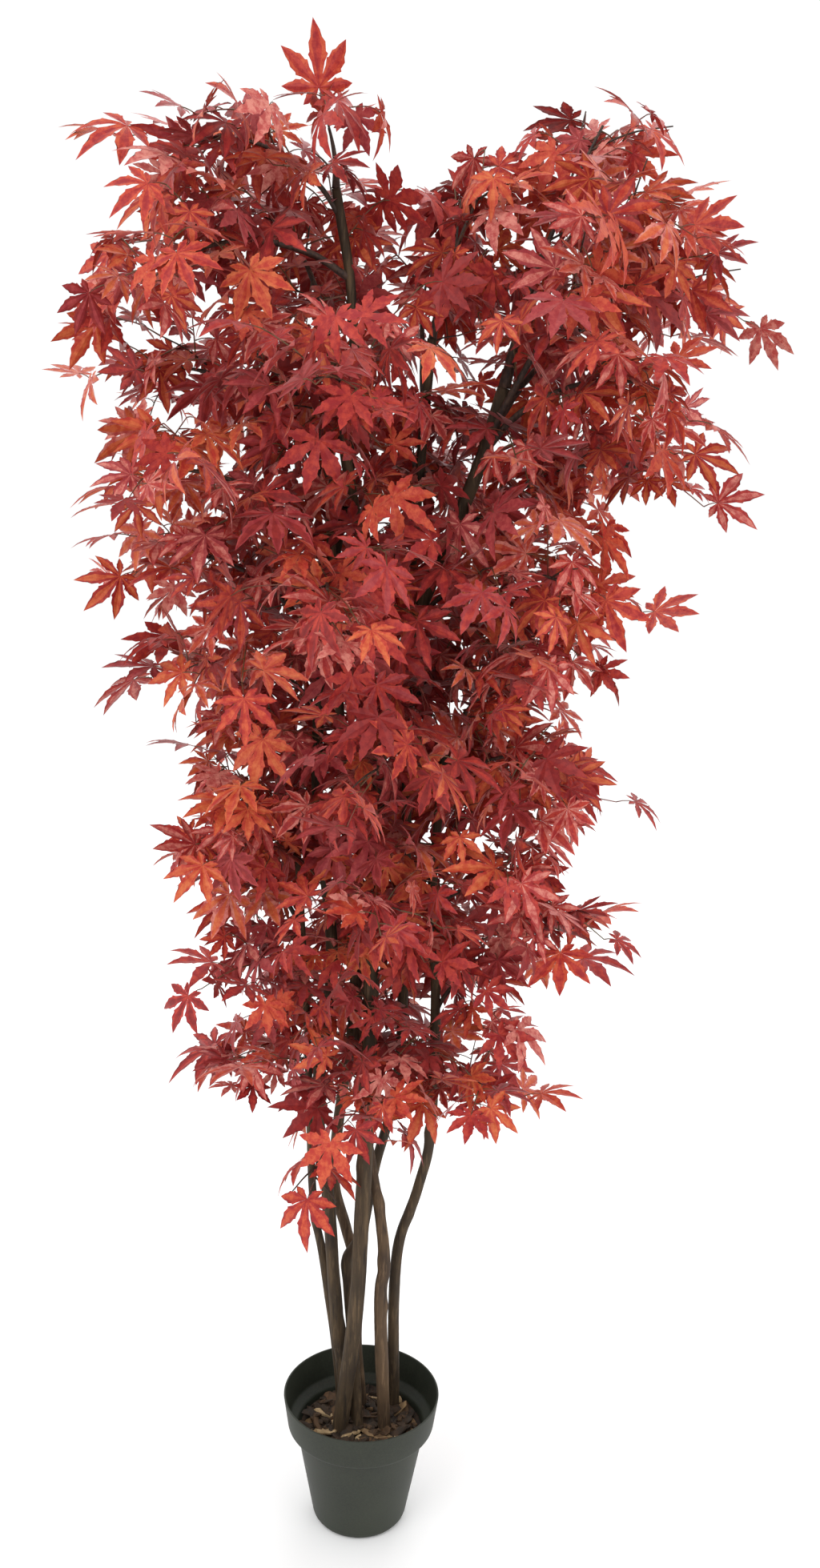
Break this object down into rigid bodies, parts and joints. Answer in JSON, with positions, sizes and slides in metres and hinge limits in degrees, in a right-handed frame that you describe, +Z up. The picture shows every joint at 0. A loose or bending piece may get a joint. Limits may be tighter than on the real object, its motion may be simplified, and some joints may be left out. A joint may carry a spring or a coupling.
{
  "type": "artificial maple tree",
  "caption": "Artificial Japanese maple in a dark nursery pot: slim crooked wooden stems rise from bark chips into a tall airy crown of red and orange palmate leaves.",
  "frame": {"origin": "centre of the pot's flat underside, which stands on the floor", "axes": "+Z up along the stems; +X to the right, towards the wider side of the crown; -Y is the front"},
  "size_m": [0.876, 0.5845, 1.8198],
  "materials": {
    "pot_plastic": "matte moulded plastic",
    "filling": "rough cement",
    "bark": "dry bark chips",
    "stem_wood": "natural bark",
    "bough_wood": "wrapped wire, matte",
    "foliage": "printed fabric leaves"
  },
  "bodies": {
    "root": {"back_bough_10": "bough_wood", "back_leader": "foliage", "back_spray_02": "foliage", "back_spray_04": "foliage", "back_spray_06": "foliage", "back_spray_08": "foliage", "back_spray_10": "foliage", "back_stem": "stem_wood", "bark_chips": "bark", "crossing_leader": "foliage", "crossing_stem": "stem_wood", "front_leader": "foliage", "front_spray_01": "foliage", "front_spray_03": "foliage", "front_spray_05": "foliage", "front_spray_07": "foliage", "front_spray_09": "foliage", "front_stem": "stem_wood", "kinked_leader": "foliage", "kinked_stem": "stem_wood", "left_bough_07": "bough_wood", "left_bough_08": "bough_wood", "left_bough_09": "bough_wood", "left_bough_10": "bough_wood", "left_leader": "foliage", "left_spray_01": "foliage", "left_spray_02": "foliage", "left_spray_03": "foliage", "left_spray_04": "foliage", "left_spray_05": "foliage", "left_spray_06": "foliage", "left_spray_07": "foliage", "left_spray_08": "foliage", "left_spray_09": "foliage", "left_spray_10": "foliage", "left_spray_12": "foliage", "left_stem": "stem_wood", "low_sprig": "foliage", "pot": "pot_plastic", "pot_filling": "filling", "right_bough_06": "bough_wood", "right_bough_08": "bough_wood", "right_bough_09": "bough_wood", "right_bough_10": "bough_wood", "right_bough_11": "bough_wood", "right_leader": "foliage", "right_spray_01": "foliage", "right_spray_02": "foliage", "right_spray_03": "foliage", "right_spray_04": "foliage", "right_spray_05": "foliage", "right_spray_06": "foliage", "right_spray_07": "foliage", "right_spray_08": "foliage", "right_spray_09": "foliage", "right_spray_10": "foliage", "right_spray_11": "foliage", "right_stem": "stem_wood", "tall_leader": "foliage", "tall_stem": "stem_wood"}
  },
  "joints": []
}
